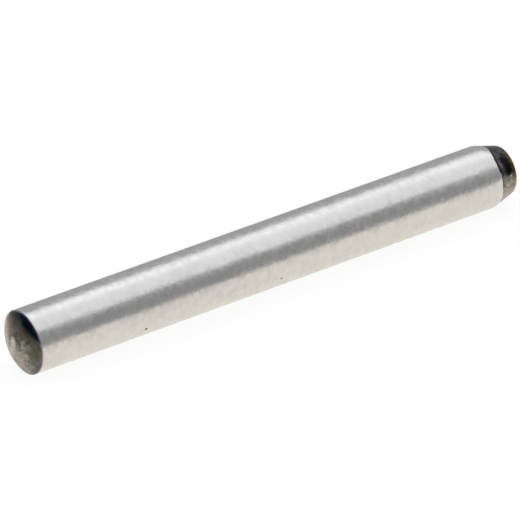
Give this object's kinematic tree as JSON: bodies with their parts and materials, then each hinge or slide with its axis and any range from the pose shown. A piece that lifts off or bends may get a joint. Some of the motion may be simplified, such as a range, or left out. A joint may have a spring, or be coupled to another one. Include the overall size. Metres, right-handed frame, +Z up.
{
  "type": "dowel pin",
  "caption": "Hardened, ground cylindrical dowel pin with a crowned plain end and a tapered lead-in end, for locating two parts.",
  "frame": {"origin": "mid-length point on the pin's axis", "axes": "+X along the axis towards the tapered tip, +Z up, with the pin lying on its side"},
  "size_m": [0.045, 0.005, 0.005],
  "materials": {
    "ground_steel": "bright ground shank with fine grinding marks round it, and both ends left black from heat treatment"
  },
  "bodies": {
    "root": {"pin": "ground_steel"}
  },
  "joints": []
}
